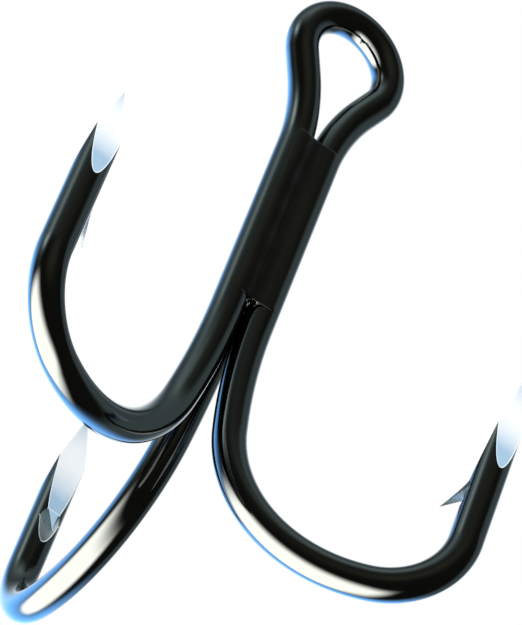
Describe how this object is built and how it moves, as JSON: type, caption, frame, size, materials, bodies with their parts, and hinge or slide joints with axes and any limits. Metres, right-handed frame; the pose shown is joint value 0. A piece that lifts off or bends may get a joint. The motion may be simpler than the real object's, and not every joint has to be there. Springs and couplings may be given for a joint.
{
  "type": "treble hook",
  "caption": "Treble fishing hook of brazed round wire, with a teardrop eye on a straight shank and barbed, ground points.",
  "frame": {"origin": "middle of the eye's hole, in the plane of the eye's wire", "axes": "+Z along the shank from the bends to the eye; Y along the eye's hole, +Y on the side of the single hook; +X to the right of the eye when seen along +Y"},
  "size_m": [0.0452, 0.0395, 0.0608],
  "materials": {
    "black_nickel": "bright black nickel plate on steel wire, with bare ground flats at the points",
    "plated_braze": "black nickel plate over a rippled braze fillet",
    "bare_braze": "cast braze alloy, hidden between the shanks"
  },
  "bodies": {
    "root": {"double_hook_wire": "black_nickel", "single_hook_wire": "black_nickel", "braze_fillet_front": "plated_braze", "braze_fillet_right": "plated_braze", "braze_fillet_left": "plated_braze", "braze_core": "bare_braze"}
  },
  "joints": []
}
